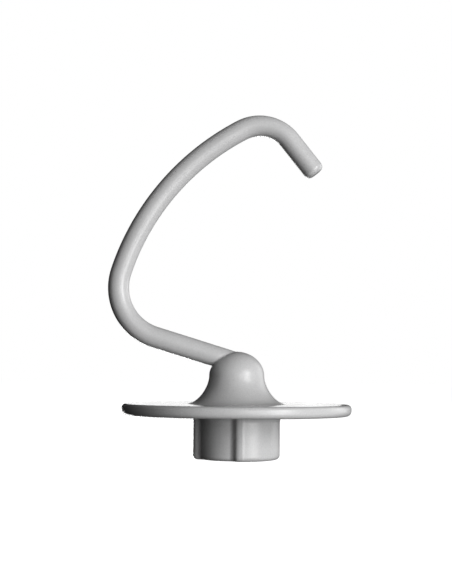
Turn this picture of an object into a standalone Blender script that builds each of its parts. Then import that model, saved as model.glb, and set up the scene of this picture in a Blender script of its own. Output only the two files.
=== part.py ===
"""C-shaped dough hook of a tilt-head stand mixer, standing on its drive collar.

Frame: metres, +Z up along the drive shaft, origin on the shaft axis at the collar's rim.
The hook bar lies in the XZ plane and leaves the hub towards -X.
"""

import math

import bmesh
import bpy
from mathutils import Matrix, Vector

MM = 0.001
GAP = 0.3 * MM                      # clearance between neighbouring pieces

# Drive collar
COLLAR_R = 18.75 * MM
COLLAR_RECESS_R = 16.5 * MM
COLLAR_H = 18.75 * MM               # rim to the underside of the shield
COLLAR_EDGE = 1.9 * MM              # rounding of the rim's outer edge
RECESS_START = math.radians(-85.5)  # azimuth of the front land's edge
RECESS_SPAN = math.radians(69.5)    # from that edge to the foot of the far step
STEP_SPAN = math.radians(16.0)      # a step's rounded flank

# Shaft socket inside the collar, for a half-inch shaft with a cross pin
BORE_R = 6.5 * MM
BORE_DEPTH = 29.0 * MM
SPIGOT_R = 10.0 * MM
SPIGOT_TOP = 32.4 * MM
BORE_CHAMFER = 0.8 * MM
TRACK_W = 7.0 * MM
TRACK_R = 11.5 * MM
TRACK_TOP = 16.0 * MM
TRACK_TURN = math.radians(50.0)     # the pin turns this far to lock
CUT_STEP = 0.1 * MM                 # keeps the faces of two cutters from lying in one plane

# Dough shield
SHIELD_R = 49.5 * MM
SHIELD_T = 4.85 * MM
SHIELD_TOP_EDGE = 1.7 * MM
SHIELD_BOTTOM_EDGE = 2.3 * MM
SHIELD_TOP = COLLAR_H + SHIELD_T

# Hub boss
BOSS_FOOT_R = 20.6 * MM
BOSS_DOME_R = 12.05 * MM
BOSS_DOME_Z = 35.5 * MM             # the dome starts here, above the flare
BOSS_TOP = 46.2 * MM
BOSS_FOOT_ANGLE = math.radians(14.0)
FLARE_NECK_REACH = 5.1 * MM         # how far the flare follows the vertical neck
FLARE_FOOT_REACH = 4.6 * MM         # and how far it follows the foot's shallow slope

# Hook bar: a straight root, three bends in one plane and a straight tip
ARM_R = 4.6 * MM
ARM_Z = 41.3 * MM                   # where the root's line meets the shaft axis
ARM_HEADING = math.radians(162.9)
ARM_START = 1.5 * MM                # the bar starts this far from the shaft axis
ARM_ROOT = 37.4 * MM
ARM_BENDS = ((22.7 * MM, 90.7), (109.1 * MM, 43.9), (16.9 * MM, 80.2))   # radius, degrees
BEND_FINENESS = 0.01 * MM           # how far a facet of a bend may stray from its arc
ARM_TIP = 18.8 * MM
TIP_EDGE = 2.0 * MM
SOCKET_REACH = 20.0 * MM

AROUND = 80                         # sides of a large turned piece
ARM_SIDES = 20
COAT = (0.56, 0.56, 0.57, 1.0)


def clear_scene():
    for thing in list(bpy.data.objects):
        bpy.data.objects.remove(thing, do_unlink=True)


def coat_material(name, shade):
    """Satin light grey coat, a little different for each piece."""
    material = bpy.data.materials.new(name)
    material.use_nodes = True
    shader = material.node_tree.nodes["Principled BSDF"]
    colour = [channel * shade for channel in COAT[:3]] + [1.0]
    shader.inputs["Base Color"].default_value = colour
    shader.inputs["Roughness"].default_value = 0.38
    shader.inputs["Metallic"].default_value = 0.0
    return material


def finish_mesh(name, bm, shade):
    """Turn a bmesh into a smooth-shaded object with its own coat."""
    bmesh.ops.recalc_face_normals(bm, faces=bm.faces)
    mesh = bpy.data.meshes.new(name)
    bm.to_mesh(mesh)
    bm.free()
    mesh.shade_smooth()
    mesh.set_sharp_from_angle(angle=math.radians(35.0))
    mesh.materials.append(coat_material(name + "_coat", shade))
    thing = bpy.data.objects.new(name, mesh)
    bpy.context.scene.collection.objects.link(thing)
    return thing


def arc(centre, radius, start_deg, end_deg, steps):
    """Points of an arc in the (r, z) half plane."""
    points = []
    for step in range(steps + 1):
        angle = math.radians(start_deg + (end_deg - start_deg) * step / steps)
        points.append((centre[0] + radius * math.cos(angle), centre[1] + radius * math.sin(angle)))
    return points


def bezier(p0, p1, p2, p3, steps):
    """Points of a cubic curve, without its first one."""
    points = []
    for step in range(1, steps + 1):
        t = step / steps
        weights = ((1 - t) ** 3, 3 * t * (1 - t) ** 2, 3 * t * t * (1 - t), t ** 3)
        corners = (p0, p1, p2, p3)
        points.append(tuple(sum(w * c[axis] for w, c in zip(weights, corners)) for axis in (0, 1)))
    return points


def turned(profile, sides, radius_at=None, closed=False):
    """A body turned about Z. radius_at(r, z, azimuth) may change the radius around the turn."""
    bm = bmesh.new()
    rings = []
    for r, z in profile:
        if r == 0.0:
            rings.append([bm.verts.new((0.0, 0.0, z))])
            continue
        ring = []
        for side in range(sides):
            azimuth = 2.0 * math.pi * side / sides
            here = radius_at(r, z, azimuth) if radius_at else r
            ring.append(bm.verts.new((here * math.cos(azimuth), here * math.sin(azimuth), z)))
        rings.append(ring)
    pairs = list(zip(rings, rings[1:]))
    if closed:
        pairs.append((rings[-1], rings[0]))
    for low, high in pairs:
        join_rings(bm, low, high, sides)
    return bm


def join_rings(bm, low, high, sides):
    for side in range(sides):
        nxt = (side + 1) % sides
        if len(low) == 1:
            bm.faces.new((low[0], high[side], high[nxt]))
        elif len(high) == 1:
            bm.faces.new((low[side], low[nxt], high[0]))
        else:
            bm.faces.new((low[side], low[nxt], high[nxt], high[side]))


def cutter(name, bm):
    """A hidden body that only cuts."""
    bmesh.ops.recalc_face_normals(bm, faces=bm.faces)
    mesh = bpy.data.meshes.new(name)
    bm.to_mesh(mesh)
    bm.free()
    thing = bpy.data.objects.new(name, mesh)
    thing.hide_render = True
    thing.display_type = "WIRE"
    bpy.context.scene.collection.objects.link(thing)
    return thing


def cut(body, tool):
    boolean = body.modifiers.new("cut_" + tool.name, "BOOLEAN")
    boolean.operation = "DIFFERENCE"
    boolean.solver = "EXACT"
    boolean.object = tool


def smooth_step(value):
    value = min(max(value, 0.0), 1.0)
    return value * value * (3.0 - 2.0 * value)


def recess_depth(azimuth):
    """0 on a raised land and 1 in a recess; there are two recesses, half a turn apart."""
    inside = (RECESS_START - azimuth) % math.pi
    into = smooth_step(inside / STEP_SPAN)
    out_of = smooth_step((inside - RECESS_SPAN) / STEP_SPAN)
    return into - out_of


def collar_radius(r, z, azimuth):
    """Outer points sink into the recesses; the bore and the spigot stay round."""
    if r < COLLAR_R - 2.0 * COLLAR_EDGE:
        return r
    return r - (COLLAR_R - COLLAR_RECESS_R) * recess_depth(azimuth)


def pin_track(name, r_in, r_out, z_low, z_high, start, turn, steps):
    """A stretch of the cross pin's track: part of a thick ring."""
    bm = bmesh.new()
    rings = []
    for step in range(steps + 1):
        azimuth = start + turn * step / steps
        corners = ((r_in, z_low), (r_out, z_low), (r_out, z_high), (r_in, z_high))
        rings.append([bm.verts.new((r * math.cos(azimuth), r * math.sin(azimuth), z)) for r, z in corners])
    for low, high in zip(rings, rings[1:]):
        join_rings(bm, low, high, 4)
    bm.faces.new(rings[0])
    bm.faces.new(list(reversed(rings[-1])))
    return cutter(name, bm)


def entry_slot():
    """The straight way by which the cross pin enters, at the rear."""
    bm = bmesh.new()
    low, high = -1.0 * MM, TRACK_TOP
    bmesh.ops.create_cube(bm, size=1.0)
    depth = TRACK_R - BORE_R / 2.0
    size = Matrix.Diagonal((TRACK_W, depth, high - low, 1.0))
    place = Matrix.Translation((0.0, TRACK_R - depth / 2.0, (low + high) / 2.0))
    bmesh.ops.transform(bm, matrix=place @ size, verts=bm.verts)
    return cutter("entry_slot_cutter", bm)


def drive_collar():
    """Collar with two raised lands, a blind shaft socket and a spigot that centres the hub."""
    shoulder = COLLAR_H - GAP
    profile = [(0.0, BORE_DEPTH), (BORE_R, BORE_DEPTH)]
    profile += [(BORE_R, BORE_CHAMFER), (BORE_R + BORE_CHAMFER, 0.0)]
    profile += arc((COLLAR_R - COLLAR_EDGE, COLLAR_EDGE), COLLAR_EDGE, -90.0, 0.0, 4)
    profile += [(COLLAR_R, shoulder), (SPIGOT_R, shoulder)]
    profile += [(SPIGOT_R, SPIGOT_TOP - BORE_CHAMFER), (SPIGOT_R - BORE_CHAMFER, SPIGOT_TOP)]
    profile += [(0.0, SPIGOT_TOP)]
    collar = finish_mesh("drive_collar", turned(profile, AROUND, collar_radius), 1.0)
    cut(collar, entry_slot())
    half_width = math.asin(TRACK_W / 2.0 / TRACK_R)
    track = pin_track("track_cutter", BORE_R / 2.0, TRACK_R - CUT_STEP, TRACK_TOP - TRACK_W,
                      TRACK_TOP - CUT_STEP, math.pi / 2.0 + half_width / 2.0, TRACK_TURN, 8)
    cut(collar, track)
    return collar


def dough_shield():
    """Flat disc with a rounded rim and a centre hole for the collar's spigot."""
    hole = SPIGOT_R + GAP
    low_centre = (SHIELD_R - SHIELD_BOTTOM_EDGE, COLLAR_H + SHIELD_BOTTOM_EDGE)
    high_centre = (SHIELD_R - SHIELD_TOP_EDGE, SHIELD_TOP - SHIELD_TOP_EDGE)
    low = arc(low_centre, SHIELD_BOTTOM_EDGE, -90.0, 0.0, 4)
    high = arc(high_centre, SHIELD_TOP_EDGE, 0.0, 90.0, 4)
    profile = [(hole, COLLAR_H)] + low + high + [(hole, SHIELD_TOP)]
    return finish_mesh("dough_shield", turned(profile, AROUND, closed=True), 0.98)


def boss_profile():
    """Pocket for the spigot, then foot, concave flare and dome."""
    foot = (BOSS_FOOT_R, SHIELD_TOP + GAP)
    neck = (BOSS_DOME_R, BOSS_DOME_Z)
    first = (foot[0] - math.cos(BOSS_FOOT_ANGLE) * FLARE_FOOT_REACH,
             foot[1] + math.sin(BOSS_FOOT_ANGLE) * FLARE_FOOT_REACH)
    second = (neck[0], neck[1] - FLARE_NECK_REACH)
    steps = 8
    profile = [foot] + bezier(foot, first, second, neck, steps)
    rise_of_dome = BOSS_TOP - BOSS_DOME_Z
    for step in range(1, steps):
        angle = math.pi / 2.0 * step / steps
        profile.append((BOSS_DOME_R * math.cos(angle), BOSS_DOME_Z + rise_of_dome * math.sin(angle)))
    profile.append((0.0, BOSS_TOP))
    pocket_r, pocket_top = SPIGOT_R + GAP, SPIGOT_TOP + GAP
    return [(0.0, pocket_top), (pocket_r, pocket_top), (pocket_r, foot[1])] + profile


def arm_frame(along):
    """Point on the root's line at this distance from the shaft axis, and the line's direction."""
    heading = Vector((math.cos(ARM_HEADING), 0.0, math.sin(ARM_HEADING)))
    return Vector((0.0, 0.0, ARM_Z)) + heading * along, heading


def hub_boss():
    """Bell-shaped boss with a slanting socket for the hook bar."""
    boss = finish_mesh("hub_boss", turned(boss_profile(), 48), 1.01)
    start, heading = arm_frame(ARM_START - GAP)
    end = start + heading * SOCKET_REACH
    stations = [(start, heading, ARM_R + GAP), (end, heading, ARM_R + GAP)]
    cut(boss, cutter("bar_socket_cutter", swept(stations, 32)))
    return boss


def swept(stations, sides):
    """A solid through round sections; each station is a centre, a direction and a radius."""
    bm = bmesh.new()
    across = Vector((0.0, 1.0, 0.0))
    rings = []
    for centre, direction, radius in stations:
        normal = across.cross(direction)
        ring = []
        for side in range(sides):
            angle = 2.0 * math.pi * side / sides
            ring.append(bm.verts.new(centre + (across * math.cos(angle) + normal * math.sin(angle)) * radius))
        rings.append(ring)
    for low, high in zip(rings, rings[1:]):
        join_rings(bm, low, high, sides)
    bm.faces.new(rings[0])
    bm.faces.new(list(reversed(rings[-1])))
    return bm


def arm_line():
    """Centre points and directions along the bar, up to where the tip's rounding starts."""
    point, direction = arm_frame(ARM_START)
    line = [(point, direction)]
    point = point + direction * (ARM_ROOT - ARM_START)
    line.append((point, direction))
    heading = ARM_HEADING
    for radius, degrees in ARM_BENDS:
        turn = math.radians(degrees)
        facet = 2.0 * math.acos(1.0 - BEND_FINENESS / radius)
        steps = math.ceil(turn / facet)
        centre = point + Vector((math.sin(heading), 0.0, -math.cos(heading))) * radius
        for step in range(1, steps + 1):
            now = heading - turn * step / steps
            place = centre + Vector((-math.sin(now), 0.0, math.cos(now))) * radius
            line.append((place, Vector((math.cos(now), 0.0, math.sin(now)))))
        heading -= turn
        point = line[-1][0]
    direction = line[-1][1]
    line.append((point + direction * (ARM_TIP - TIP_EDGE), direction))
    return line


def hook_arm():
    """Round bar bent into the open C, with a rounded flat tip."""
    stations = [(point, direction, ARM_R) for point, direction in arm_line()]
    end, direction = stations[-1][0], stations[-1][1]
    steps = 4
    for step in range(1, steps + 1):
        angle = math.pi / 2.0 * step / steps
        shrink = ARM_R - TIP_EDGE * (1.0 - math.cos(angle))
        stations.append((end + direction * TIP_EDGE * math.sin(angle), direction, shrink))
    return finish_mesh("hook_arm", swept(stations, ARM_SIDES), 0.99)


clear_scene()
drive_collar()
dough_shield()
hub_boss()
hook_arm()
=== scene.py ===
"""Looks of the C-shaped dough hook: fine meshes, satin coat, studio light and camera.

Lengths are in millimetres inside the mesh functions, and turned into metres when a mesh is made.
"""
import math

import bpy
import numpy as np
from mathutils import Matrix, Vector


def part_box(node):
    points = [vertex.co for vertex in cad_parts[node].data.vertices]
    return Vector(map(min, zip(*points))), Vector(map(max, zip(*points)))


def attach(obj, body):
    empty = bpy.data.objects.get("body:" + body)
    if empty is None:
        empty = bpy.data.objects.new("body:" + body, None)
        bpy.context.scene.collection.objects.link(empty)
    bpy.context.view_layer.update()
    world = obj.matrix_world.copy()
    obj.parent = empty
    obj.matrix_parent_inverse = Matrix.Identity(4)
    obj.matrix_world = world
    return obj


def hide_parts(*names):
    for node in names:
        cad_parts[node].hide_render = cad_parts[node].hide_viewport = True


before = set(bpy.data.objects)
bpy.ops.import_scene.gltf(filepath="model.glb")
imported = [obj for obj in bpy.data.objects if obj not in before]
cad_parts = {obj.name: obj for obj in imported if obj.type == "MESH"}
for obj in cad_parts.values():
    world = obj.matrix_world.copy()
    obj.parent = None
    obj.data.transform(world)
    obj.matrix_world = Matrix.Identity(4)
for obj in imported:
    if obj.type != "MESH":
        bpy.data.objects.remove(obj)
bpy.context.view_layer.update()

MM = 0.001


def corners(node):
    """Lowest and highest corner of a CAD node, in millimetres."""
    low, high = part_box(node)
    return np.array(low) / MM, np.array(high) / MM


# Sizes read from the frame
shield_low, shield_high = corners("dough_shield")
collar_low, collar_high = corners("drive_collar")
boss_low, boss_high = corners("hub_boss")
arm_low, arm_high = corners("hook_arm")
SHIELD_R = shield_high[0]
SHIELD_UNDER = shield_low[2]
SHIELD_TOP = shield_high[2]
COLLAR_R = collar_high[0]
BOSS_TOP = boss_high[2]
BAR_INSET = 0.01            # keeps the finer curves of the bar inside the CAD body's box
ARM_R = (arm_high[1] - arm_low[1]) / 2.0 - BAR_INSET

# Bar: root line, three bends, tip
ARM_Z = 41.3
ARM_HEADING = math.radians(162.9)
ARM_ROOT = 37.4
ARM_BENDS = ((22.7, 90.7), (109.1, 43.9), (16.9, 80.2))
ARM_TIP = 18.8
TIP_EDGE = 2.5
SEAM = 17.5                 # the bar's own mesh starts here; nearer the hub it is part of the boss
STUB_END = SEAM + 4.0       # the boss's stub runs on inside the bar to here
SEAM_SINK = 0.012           # the boss's stub is this much thinner than the bar that covers it

# Boss: a flare that runs off nearly level onto the shield, and a dome
FOOT_R = 21.2
FOOT_ANGLE = math.radians(11.0)
FOOT_REACH = 6.0
NECK_REACH = 3.4
DOME_R = 11.95
DOME_Z = 35.5
SINK = 1.0                  # the boss goes on this far below the shield's top
CREASE_FILLET = 0.9         # rolled between the bar and the dome
CREASE_DEPTH = 0.30         # a shallow groove follows the line where they meet
CREASE_WIDTH = 0.9
CREASE_START = 1.5          # the groove starts this far along the bar, and deepens over the next stretch
CREASE_FADE = 3.0

# Collar
LAND_DROP = 2.25            # depth of a recess
LAND_EDGE = math.radians(-85.5)     # azimuth of the front land's edge
RECESS_SPAN = math.radians(69.5)    # from that edge to the foot of the far step
STEP_WIDTH = 4.6            # a step's width round the collar
STEP_CONCAVE = 0.54         # share of that width taken by the hollow part of the step
LEDGE_AT = math.radians(46.6)       # from its edge to here, each land is a little higher
LEDGE_SPAN = math.radians(2.2)
LEDGE_RISE = 0.32
BEAD_RISE = 0.14            # the coat builds up along a land's edge
BEAD_WIDTH = 0.8
TOP_FILLET = 3.0            # where the collar runs into the shield
COLLAR_EDGE = 1.9
BORE_R = 6.5
BORE_TOP = 29.0
MOUTH_CHAMFER = 0.8
SLOT_HALF = 3.5
SLOT_R = 11.5
SLOT_TOP = 16.0
TRACK_FLOOR = 9.0
TRACK_TURN = math.radians(50.0)     # the pin turns this far to lock
TRACK_INSET = 0.1
SPIGOT_R = 10.0
SPIGOT_TOP = 32.4
SPIGOT_EDGE = 0.8
LAP = 0.05                  # the collar runs this far into the shield
TURNS = 12                  # facets of a rounded edge

# Shield
SHIELD_TOP_EDGE = 1.7
SHIELD_LOW_EDGE = 2.3
SHIELD_HOLE = 10.3
SHIELD_FLAT = 30.0          # an extra ring on each flat face

# Looks and light
COAT = (0.56, 0.56, 0.562)
LIGHT_AIM = 0.07            # metres above the ground


# ---------------------------------------------------------------- mesh helpers

def make_mesh(name, points, faces, material, sharp=None):
    mesh = bpy.data.meshes.new(name)
    mesh.from_pydata((np.asarray(points, float) * MM).tolist(), [], faces)
    mesh.validate()
    mesh.update()
    mesh.shade_smooth()
    if sharp:
        mesh.set_sharp_from_angle(angle=math.radians(sharp))
    mesh.materials.append(material)
    piece = bpy.data.objects.new(name, mesh)
    bpy.context.scene.collection.objects.link(piece)
    return piece


def ring_faces(count, sides, closed=False):
    """Quads between rings of equal size; a closed set also joins its last ring to its first."""
    faces = []
    for ring in range(count if closed else count - 1):
        a, b = ring * sides, (ring + 1) % count * sides
        for side in range(sides):
            nxt = (side + 1) % sides
            faces.append((a + side, a + nxt, b + nxt, b + side))
    return faces


def cap(ring, sides, centre, flip=False):
    """Triangles from one ring to a centre point."""
    faces = []
    for side in range(sides):
        face = (ring * sides + side, ring * sides + (side + 1) % sides, centre)
        faces.append(face[::-1] if flip else face)
    return faces


def arc(centre, radius, start_deg, end_deg, steps):
    angles = np.radians(np.linspace(start_deg, end_deg, steps + 1))
    return [(centre[0] + radius * math.cos(a), centre[1] + radius * math.sin(a)) for a in angles]


def bezier(p0, p1, p2, p3, steps):
    t = np.linspace(0.0, 1.0, steps + 1)[1:, None]
    a, b, c, d = (np.array(p, float) for p in (p0, p1, p2, p3))
    points = (1 - t) ** 3 * a + 3 * t * (1 - t) ** 2 * b
    points = points + 3 * t * t * (1 - t) * c + t ** 3 * d
    return [tuple(p) for p in points]


def smooth_step(x):
    x = np.clip(x, 0.0, 1.0)
    return x * x * (3.0 - 2.0 * x)


# ---------------------------------------------------------------- materials

def coat_material(name, tone=1.0, seed=0.0, roughness=0.32, relief=1.0):
    """Satin light grey coat: soft mottling, a fine grain, and a faint orange-peel."""
    material = bpy.data.materials.new(name)
    material.use_nodes = True
    nodes, links = material.node_tree.nodes, material.node_tree.links
    shader = nodes["Principled BSDF"]
    shader.inputs["Metallic"].default_value = 0.0
    shader.inputs["IOR"].default_value = 1.5
    place = nodes.new("ShaderNodeTexCoord")
    shift = nodes.new("ShaderNodeMapping")
    shift.inputs["Location"].default_value = (seed, 0.3 * seed, -0.7 * seed)
    links.new(place.outputs["Object"], shift.inputs["Vector"])

    def noise(scale, detail, rough=0.5):
        node = nodes.new("ShaderNodeTexNoise")
        node.inputs["Scale"].default_value = scale
        node.inputs["Detail"].default_value = detail
        node.inputs["Roughness"].default_value = rough
        links.new(shift.outputs["Vector"], node.inputs["Vector"])
        return node.outputs["Fac"]

    def ramp(source, low, high, dark, light):
        node = nodes.new("ShaderNodeMapRange")
        for socket, value in zip(("From Min", "From Max", "To Min", "To Max"), (low, high, dark, light)):
            node.inputs[socket].default_value = value
        links.new(source, node.inputs["Value"])
        return node.outputs["Result"]

    mottle = ramp(noise(55.0, 3.0), 0.3, 0.7, 0.97, 1.03)
    speck = ramp(noise(1700.0, 3.0, 0.65), 0.3, 0.7, 0.93, 1.07)
    both = nodes.new("ShaderNodeMath")
    both.operation = "MULTIPLY"
    links.new(mottle, both.inputs[0])
    links.new(speck, both.inputs[1])
    colour = nodes.new("ShaderNodeVectorMath")
    colour.operation = "SCALE"
    colour.inputs[0].default_value = [channel * tone for channel in COAT]
    links.new(both.outputs[0], colour.inputs["Scale"])
    links.new(colour.outputs["Vector"], shader.inputs["Base Color"])
    uneven = ramp(noise(140.0, 4.0), 0.3, 0.7, roughness - 0.03, roughness + 0.03)
    links.new(uneven, shader.inputs["Roughness"])

    grain = nodes.new("ShaderNodeBump")
    grain.inputs["Strength"].default_value = 0.30 * relief
    grain.inputs["Distance"].default_value = 0.00004
    links.new(noise(3200.0, 3.0, 0.6), grain.inputs["Height"])
    peel = nodes.new("ShaderNodeBump")
    peel.inputs["Strength"].default_value = 0.15 * relief
    peel.inputs["Distance"].default_value = 0.0001
    links.new(noise(420.0, 2.0), peel.inputs["Height"])
    links.new(grain.outputs["Normal"], peel.inputs["Normal"])
    links.new(peel.outputs["Normal"], shader.inputs["Normal"])
    return material


def bare_metal(name):
    """Machined aluminium of the socket, with turning rings up the bore."""
    material = bpy.data.materials.new(name)
    material.use_nodes = True
    nodes, links = material.node_tree.nodes, material.node_tree.links
    shader = nodes["Principled BSDF"]
    shader.inputs["Metallic"].default_value = 1.0
    place = nodes.new("ShaderNodeTexCoord")
    rings = nodes.new("ShaderNodeTexWave")
    rings.bands_direction = "Z"
    rings.inputs["Scale"].default_value = 900.0
    rings.inputs["Distortion"].default_value = 0.6
    links.new(place.outputs["Object"], rings.inputs["Vector"])
    cloud = nodes.new("ShaderNodeTexNoise")
    cloud.inputs["Scale"].default_value = 260.0
    cloud.inputs["Detail"].default_value = 4.0
    links.new(place.outputs["Object"], cloud.inputs["Vector"])
    tint = nodes.new("ShaderNodeMix")
    tint.data_type = "RGBA"
    tint.inputs["A"].default_value = (0.50, 0.50, 0.51, 1.0)
    tint.inputs["B"].default_value = (0.74, 0.74, 0.75, 1.0)
    links.new(cloud.outputs["Fac"], tint.inputs["Factor"])
    links.new(tint.outputs["Result"], shader.inputs["Base Color"])
    rough = nodes.new("ShaderNodeMapRange")
    rough.inputs["To Min"].default_value = 0.22
    rough.inputs["To Max"].default_value = 0.42
    links.new(cloud.outputs["Fac"], rough.inputs["Value"])
    links.new(rough.outputs["Result"], shader.inputs["Roughness"])
    bump = nodes.new("ShaderNodeBump")
    bump.inputs["Strength"].default_value = 0.4
    bump.inputs["Distance"].default_value = 0.00003
    links.new(rings.outputs["Fac"], bump.inputs["Height"])
    links.new(bump.outputs["Normal"], shader.inputs["Normal"])
    return material


# ---------------------------------------------------------------- shield

def shield_piece():
    """Disc with a bullnose rim, fine enough to stay round close up."""
    sides = 360
    low_centre = (SHIELD_R - SHIELD_LOW_EDGE, SHIELD_UNDER + SHIELD_LOW_EDGE)
    top_centre = (SHIELD_R - SHIELD_TOP_EDGE, SHIELD_TOP - SHIELD_TOP_EDGE)
    profile = [(SHIELD_HOLE, SHIELD_UNDER), (SHIELD_FLAT, SHIELD_UNDER)]
    profile += arc(low_centre, SHIELD_LOW_EDGE, -90, 0, TURNS)
    profile += arc(top_centre, SHIELD_TOP_EDGE, 0, 90, TURNS)
    profile += [(SHIELD_FLAT, SHIELD_TOP), (SHIELD_HOLE, SHIELD_TOP)]
    angles = np.arange(sides) * 2.0 * math.pi / sides
    points = []
    for r, z in profile:
        points += [(r * math.cos(a), r * math.sin(a), z) for a in angles]
    faces = ring_faces(len(profile), sides, closed=True)
    plate = make_mesh("shield_plate", points, faces, coat_material("shield_coat", 1.0, 3.1), sharp=50)
    plate.data.materials.append(coat_material("shield_top_coat", 1.0, 3.1, roughness=0.17, relief=0.15))
    first = (len(profile) - 3) * sides
    for polygon in plate.data.polygons[first:first + 2 * sides]:
        polygon.material_index = 1
    return plate


# ---------------------------------------------------------------- collar

def step_down(angle):
    """Drop at this angle past a land's edge: a rounded edge that rolls into a hollow foot."""
    bend = 2.0 * math.atan(LAND_DROP / STEP_WIDTH)
    both = STEP_WIDTH / math.sin(bend)
    hollow, edge = both * STEP_CONCAVE, both * (1.0 - STEP_CONCAVE)
    s = np.clip(angle * (COLLAR_R - LAND_DROP / 2.0), 0.0, STEP_WIDTH)
    over = edge - np.sqrt(np.maximum(edge ** 2 - s ** 2, 0.0))
    under = LAND_DROP - hollow + np.sqrt(np.maximum(hollow ** 2 - (STEP_WIDTH - s) ** 2, 0.0))
    return np.where(s < edge * math.sin(bend), over, under)


def collar_outside(azimuth, inset):
    """Radius of the collar's outside: two lands and two recesses, half a turn apart."""
    past = (LAND_EDGE - azimuth) % math.pi
    step_angle = STEP_WIDTH / (COLLAR_R - LAND_DROP / 2.0)
    far = RECESS_SPAN + step_angle - past
    drop = np.minimum(step_down(past), np.where(far > 0.0, step_down(far), 0.0))
    ledge = smooth_step((past - math.pi + LEDGE_AT) / LEDGE_SPAN + 0.5)
    ledge = np.where(past > RECESS_SPAN / 2.0, ledge, 1.0) * (1.0 - drop / LAND_DROP)
    onto_land = ((math.pi / 2.0 - past) % math.pi - math.pi / 2.0) * COLLAR_R
    bead = BEAD_RISE * np.exp(-((onto_land - BEAD_WIDTH) / BEAD_WIDTH) ** 2)
    return COLLAR_R - drop + LEDGE_RISE * ledge + bead - inset


def keyhole(azimuth, grow):
    """The socket's mouth seen along the shaft: a round bore with a slot towards the rear."""
    across = (SLOT_HALF + grow) / np.maximum(np.abs(np.cos(azimuth)), 1e-6)
    along = (SLOT_R + grow) / np.maximum(np.sin(azimuth), 1e-6)
    slot = np.where(np.sin(azimuth) > 0.0, np.minimum(across, along), 0.0)
    return np.maximum(BORE_R + grow, slot)


def track(azimuth):
    """The pin's pocket beside the slot, where the hook locks."""
    start = math.pi / 2.0 + math.asin(SLOT_HALF / SLOT_R) / 2.0
    inside = (azimuth > start) & (azimuth < start + TRACK_TURN)
    return np.where(inside, SLOT_R - TRACK_INSET, 0.0)


def collar_piece():
    """Collar with lands and recesses outside, keyhole socket and pin track inside."""
    sides = 960
    azimuth = np.arange(sides) * 2.0 * math.pi / sides
    azimuth = (azimuth + math.pi) % (2.0 * math.pi) - math.pi
    rings = [(keyhole(azimuth, MOUTH_CHAMFER), 0.0)]
    for step in range(TURNS + 1):
        angle = math.pi / 2.0 * step / TURNS
        inset = COLLAR_EDGE * (1.0 - math.sin(angle))
        rings.append((collar_outside(azimuth, inset), COLLAR_EDGE * (1.0 - math.cos(angle))))
    for level in np.linspace(4.0, SHIELD_UNDER - TOP_FILLET, 6):
        rings.append((collar_outside(azimuth, 0.0), level))
    for step in range(1, TURNS + 1):
        angle = math.pi / 2.0 * step / TURNS
        flare = -TOP_FILLET * (1.0 - math.cos(angle))
        level = SHIELD_UNDER - TOP_FILLET * (1.0 - math.sin(angle))
        rings.append((collar_outside(azimuth, flare), level))
    spigot = np.full(sides, SPIGOT_R)
    rings += [(rings[-1][0], SHIELD_UNDER + LAP), (spigot, SHIELD_UNDER + LAP)]
    rings += [(spigot, SPIGOT_TOP - SPIGOT_EDGE), (spigot - SPIGOT_EDGE, SPIGOT_TOP)]
    outer = len(rings)
    bore, slot = np.full(sides, BORE_R), keyhole(azimuth, 0.0)
    pocket = np.maximum(slot, track(azimuth))
    rings += [(bore, BORE_TOP), (bore, SLOT_TOP), (pocket, SLOT_TOP), (pocket, TRACK_FLOOR)]
    rings += [(slot, TRACK_FLOOR), (slot, MOUTH_CHAMFER)]
    points = []
    for radius, z in rings:
        points += list(zip(radius * np.cos(azimuth), radius * np.sin(azimuth), np.full(sides, z)))
    # The mouth is the first ring; walk from it out, up and over, then down the bore to meet it again.
    faces = ring_faces(outer, sides)
    top_centre = len(points)
    points.append((0.0, 0.0, SPIGOT_TOP))
    faces += cap(outer - 1, sides, top_centre)
    bore_centre = len(points)
    points.append((0.0, 0.0, BORE_TOP))
    faces += cap(outer, sides, bore_centre, flip=True)
    socket = len(faces) - sides
    for ring in range(outer, len(rings) - 1):
        faces += [tuple(ring * sides + corner for corner in face) for face in ring_faces(2, sides)]
    last = (len(rings) - 1) * sides
    for side in range(sides):
        nxt = (side + 1) % sides
        faces.append((last + side, last + nxt, nxt, side))
    # Tone 0.96 paints the collar a little darker than the same coat on the other parts: painted shade
    # for the collar under the shield.
    coat = coat_material("collar_coat_painted_shade", 0.96, 7.7, roughness=0.35)
    piece = make_mesh("collar_ring", points, faces, coat, sharp=40)
    piece.data.materials.append(bare_metal("socket_metal"))
    for polygon in piece.data.polygons[socket:]:
        polygon.material_index = 1
    return piece


# ---------------------------------------------------------------- bar

def arm_point(along):
    """Point on the root's line, and the line's direction."""
    direction = np.array([math.cos(ARM_HEADING), 0.0, math.sin(ARM_HEADING)])
    return np.array([0.0, 0.0, ARM_Z]) + direction * along, direction


def arm_stations():
    """Centre and direction every 0.7 mm or so along the bar, without the tip's rounding."""
    start, direction = arm_point(SEAM)
    end, _ = arm_point(ARM_ROOT)
    stations = [(start + (end - start) * t, direction) for t in np.linspace(0.0, 1.0, 28)]
    heading, point = ARM_HEADING, end
    for radius, degrees in ARM_BENDS:
        turn = math.radians(degrees)
        centre = point + radius * np.array([math.sin(heading), 0.0, -math.cos(heading)])
        for t in np.linspace(0.0, 1.0, max(24, round(radius * turn / 0.8)))[1:]:
            now = heading - turn * t
            place = centre + radius * np.array([-math.sin(now), 0.0, math.cos(now)])
            stations.append((place, np.array([math.cos(now), 0.0, math.sin(now)])))
        heading -= turn
        point, direction = stations[-1]
    for t in np.linspace(0.0, 1.0, 22)[1:]:
        stations.append((point + direction * (ARM_TIP - TIP_EDGE) * t, direction))
    return stations


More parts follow.
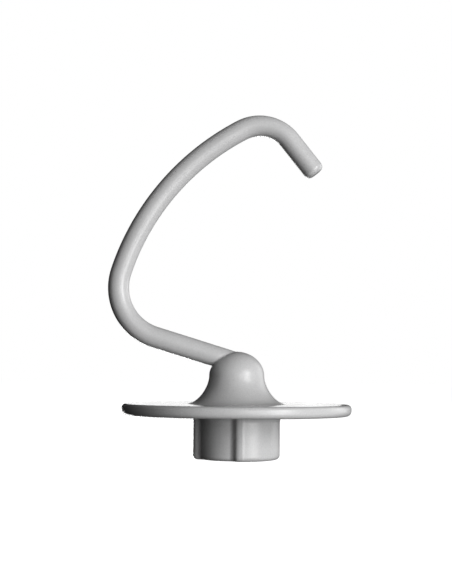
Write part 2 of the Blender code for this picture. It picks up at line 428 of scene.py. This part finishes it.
def bar_piece():
    sides = 72
    rings = [(centre, direction, ARM_R) for centre, direction in arm_stations()]
    centre, direction, _ = rings[-1]
    for step in range(1, TURNS + 1):
        angle = math.pi / 2.0 * step / TURNS
        shrink = ARM_R - TIP_EDGE * (1.0 - math.cos(angle))
        rings.append((centre + direction * TIP_EDGE * math.sin(angle), direction, shrink))
    flat_r = rings[-1][2]
    for share in (0.66, 0.33):
        rings.append((rings[-1][0], direction, flat_r * share))
    across = np.array([0.0, 1.0, 0.0])
    angles = np.arange(sides) * 2.0 * math.pi / sides
    points = []
    for centre, direction, radius in rings:
        normal = np.cross(across, direction)
        for a in angles:
            points.append(centre + radius * (across * math.cos(a) + normal * math.sin(a)))
    faces = ring_faces(len(rings), sides)
    points += [rings[0][0], rings[-1][0]]
    faces += cap(0, sides, len(points) - 2, flip=True)
    faces += cap(len(rings) - 1, sides, len(points) - 1)
    faces = [face[::-1] for face in faces]
    return make_mesh("hook_bar", points, faces, coat_material("bar_coat", 1.0, 1.3), sharp=60)


# ---------------------------------------------------------------- boss

def boss_outline():
    """Half outline (r, z) from the sunken foot up the flare to the dome's top."""
    foot = (FOOT_R, SHIELD_TOP)
    neck = (DOME_R, DOME_Z)
    first = (foot[0] - math.cos(FOOT_ANGLE) * FOOT_REACH, foot[1] + math.sin(FOOT_ANGLE) * FOOT_REACH)
    second = (neck[0], neck[1] - NECK_REACH)
    points = [(0.0, SHIELD_TOP - SINK), (FOOT_R, SHIELD_TOP - SINK), foot]
    points += bezier(foot, first, second, neck, 48)
    for angle in np.radians(np.linspace(0.0, 90.0, 60))[1:]:
        points.append((DOME_R * math.cos(angle), DOME_Z + (BOSS_TOP - DOME_Z) * math.sin(angle)))
    return np.array(points)


def outline_distance(r, z, outline):
    """Signed distance to the turned outline, negative inside, and the unit direction away from it."""
    best = np.full(r.shape, 1e9)
    grad = np.zeros(r.shape + (2,))
    inside = np.zeros(r.shape, bool)
    for (r0, z0), (r1, z1) in zip(outline, outline[1:]):
        er, ez = r1 - r0, z1 - z0
        t = np.clip(((r - r0) * er + (z - z0) * ez) / (er * er + ez * ez), 0.0, 1.0)
        dr, dz = r - r0 - t * er, z - z0 - t * ez
        d = np.hypot(dr, dz)
        nearer = d < best
        best = np.where(nearer, d, best)
        grad[nearer, 0] = dr[nearer]
        grad[nearer, 1] = dz[nearer]
        crosses = (z0 > z) != (z1 > z)
        if ez != 0.0:
            inside ^= crosses & (r < r0 + (z - z0) * er / ez)
    sign = np.where(inside, -1.0, 1.0)
    grad /= np.maximum(best, 1e-9)[:, None]
    return best * sign, grad * sign[:, None]


def hub_field(points, outline, fillet):
    """Signed field of the boss joined to the bar's stub: a rolled fillet with a shallow groove."""
    r = np.hypot(points[:, 0], points[:, 1])
    boss, slope = outline_distance(r, points[:, 2], outline)
    radial = points[:, :2] / np.maximum(r, 1e-9)[:, None]
    boss_normal = np.column_stack([radial * slope[:, :1], slope[:, 1]])
    base, direction = arm_point(0.0)
    offset = points - base
    along = offset @ direction
    out = offset - along[:, None] * direction
    distance = np.linalg.norm(out, axis=1)
    bar_normal = out / np.maximum(distance, 1e-9)[:, None]
    narrow = 0.5 * smooth_step((along - SEAM - 1.0) / 1.5)
    bar = np.maximum(distance - ARM_R + SEAM_SINK + narrow, np.maximum(-along, along - STUB_END))
    apart = 1.0 - np.clip((boss_normal * bar_normal).sum(1), 0.0, 1.0)
    radius = fillet * apart + 1e-6
    joined = np.maximum(radius, np.minimum(boss, bar))
    joined = joined - np.hypot(np.maximum(radius - boss, 0.0), np.maximum(radius - bar, 0.0))
    groove = CREASE_DEPTH * apart * smooth_step((along - CREASE_START) / CREASE_FADE)
    return joined + groove * np.exp(-(boss ** 2 + bar ** 2) / CREASE_WIDTH ** 2)


def field_slope(points, field):
    """Gradient of a field at each point, by central differences."""
    step = 0.01
    slope = np.empty_like(points)
    for axis in range(3):
        nudge = np.zeros(3)
        nudge[axis] = step
        slope[:, axis] = (field(points + nudge) - field(points - nudge)) / (2.0 * step)
    return slope


def settle(points, field, rounds=6):
    """Moves points along the field's slope until they lie on its zero surface."""
    for _ in range(rounds):
        slope = field_slope(points, field)
        length2 = np.maximum((slope ** 2).sum(1), 0.05)
        move = -(field(points) / length2)[:, None] * slope
        size = np.linalg.norm(move, axis=1)
        points = points + move * np.minimum(1.0, 0.4 / np.maximum(size, 1e-9))[:, None]
    return points


def boss_piece():
    """Bell-shaped boss and the start of the bar, with a fillet rolled between them."""
    outline = boss_outline()
    sides = 120
    angles = np.arange(sides) * 2.0 * math.pi / sides
    points, rings = [], 0
    for r, z in outline[1:-1]:
        points += [(r * math.cos(a), r * math.sin(a), z) for a in angles]
        rings += 1
    faces = ring_faces(rings, sides)
    points += [(0.0, 0.0, outline[0][1]), (0.0, 0.0, outline[-1][1])]
    faces += cap(0, sides, len(points) - 2, flip=True) + cap(rings - 1, sides, len(points) - 1)
    start = len(points)
    across = np.array([0.0, 1.0, 0.0])
    stub_from, stub_to = 1.0, STUB_END - 0.5
    for along in (stub_from, stub_to):
        centre, direction = arm_point(along)
        normal = np.cross(across, direction)
        points += [centre + ARM_R * (across * math.cos(a) + normal * math.sin(a)) for a in angles]
    stub = [tuple(start + corner for corner in face)[::-1] for face in ring_faces(2, sides)]
    points += [arm_point(stub_from)[0], arm_point(stub_to)[0]]
    for side in range(sides):
        nxt = (side + 1) % sides
        stub.append((start + side, start + nxt, len(points) - 2))
        stub.append((start + sides + nxt, start + sides + side, len(points) - 1))
    coat = coat_material("boss_coat", 1.0, 5.2, roughness=0.36)
    piece = make_mesh("hub_bell", points, faces + stub, coat)
    remesh = piece.modifiers.new("even_skin", "REMESH")
    remesh.mode = "VOXEL"
    remesh.voxel_size = 0.35 * MM
    bpy.context.view_layer.update()
    skin = bpy.data.meshes.new_from_object(piece.evaluated_get(bpy.context.evaluated_depsgraph_get()))
    piece.modifiers.clear()
    count = len(skin.vertices)
    co = np.empty(count * 3, np.float32)
    skin.vertices.foreach_get("co", co)
    co = co.reshape(-1, 3).astype(float) / MM
    settled = settle(co, lambda p: hub_field(p, outline, CREASE_FILLET))
    sunken = co[:, 2] < SHIELD_TOP - 0.6
    settled[sunken] = co[sunken]
    skin.vertices.foreach_set("co", (settled * MM).astype(np.float32).ravel())
    skin.update()
    skin.shade_smooth()
    piece.data = skin
    return piece


# ---------------------------------------------------------------- stage

def floor_piece():
    """White ground that only the camera sees."""
    mesh = bpy.data.meshes.new("floor")
    half = 6.0
    square = [(-half, -half, 0.0), (half, -half, 0.0), (half, half, 0.0), (-half, half, 0.0)]
    mesh.from_pydata(square, [], [(0, 1, 2, 3)])
    floor = bpy.data.objects.new("floor", mesh)
    bpy.context.scene.collection.objects.link(floor)
    material = bpy.data.materials.new("pale_floor")
    material.use_nodes = True
    shader = material.node_tree.nodes["Principled BSDF"]
    shader.inputs["Base Color"].default_value = (0.9, 0.9, 0.9, 1.0)
    shader.inputs["Roughness"].default_value = 1.0
    shader.inputs["Specular IOR Level"].default_value = 0.0
    shader.inputs["Emission Color"].default_value = (1.0, 1.0, 1.0, 1.0)
    shader.inputs["Emission Strength"].default_value = 1.0
    mesh.materials.append(material)
    floor.location.z = -0.0002
    for kind in ("diffuse", "glossy", "transmission", "volume_scatter", "shadow"):
        setattr(floor, "visible_" + kind, False)


def soft_light(name, azimuth, elevation, width, height, power):
    """Soft box one metre away, aimed at the hook. Azimuth 0 is the front and turns towards +X."""
    data = bpy.data.lights.new(name, "AREA")
    data.shape = "RECTANGLE"
    data.size, data.size_y = width, height
    data.energy = power
    lamp = bpy.data.objects.new(name, data)
    a, e = math.radians(azimuth), math.radians(elevation)
    aim = Vector((0.0, 0.0, LIGHT_AIM))
    lamp.location = aim + Vector((math.sin(a) * math.cos(e), -math.cos(a) * math.cos(e), math.sin(e)))
    lamp.rotation_euler = (aim - lamp.location).to_track_quat("-Z", "Y").to_euler()
    lamp.visible_camera = False
    bpy.context.scene.collection.objects.link(lamp)


def world_light():
    """White ground for the camera, and a dim fill for everything else."""
    world = bpy.data.worlds.new("studio")
    bpy.context.scene.world = world
    world.use_nodes = True
    nodes, links = world.node_tree.nodes, world.node_tree.links
    ground = nodes["Background"]
    path = nodes.new("ShaderNodeLightPath")
    level = nodes.new("ShaderNodeMapRange")
    level.inputs["To Min"].default_value = 0.01
    level.inputs["To Max"].default_value = 1.0
    links.new(path.outputs["Is Camera Ray"], level.inputs["Value"])
    ground.inputs["Color"].default_value = (1.0, 1.0, 1.0, 1.0)
    links.new(level.outputs["Result"], ground.inputs["Strength"])


def camera():
    data = bpy.data.cameras.new("camera")
    data.lens = 69.2
    data.sensor_width = 36.0
    data.clip_start = 0.01
    eye = bpy.data.objects.new("camera", data)
    eye.location = (-0.004906, -0.488, 0.0352)
    turn = Matrix.Rotation(math.radians(94.33), 4, "X") @ Matrix.Rotation(math.radians(0.42), 4, "Z")
    eye.rotation_euler = turn.to_euler()
    bpy.context.scene.collection.objects.link(eye)
    bpy.context.scene.camera = eye


pieces = (
    (shield_piece(), "dough_shield"),
    (collar_piece(), "drive_collar"),
    (boss_piece(), "hub_boss"),
    (bar_piece(), "hook_arm"),
)
for piece, node in pieces:
    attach(piece, "root")
    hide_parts(node)

floor_piece()
world_light()
for setting in (
    ("key_high", 46.0, 15.0, 0.26, 0.26, 3.8),
    ("key_middle", 45.0, 0.0, 0.26, 0.26, 2.5),
    ("key_low", 45.0, -17.0, 0.26, 0.26, 1.6),
    ("key_edge", 30.0, 0.0, 0.26, 0.85, 2.65),
    ("front_low", 13.0, 3.0, 0.26, 0.30, 1.3),
    ("front_high", 0.0, 34.0, 0.26, 0.26, 0.3),
    ("back", 180.0, 2.0, 0.30, 0.20, 0.30),
    ("back_right", 122.0, 10.0, 0.50, 0.60, 2.0),
    ("back_fill", 188.0, -12.0, 0.45, 0.25, 3.0),
):
    soft_light(*setting)
camera()
bpy.context.scene.view_settings.view_transform = "Standard"

bpy.context.view_layer.update()
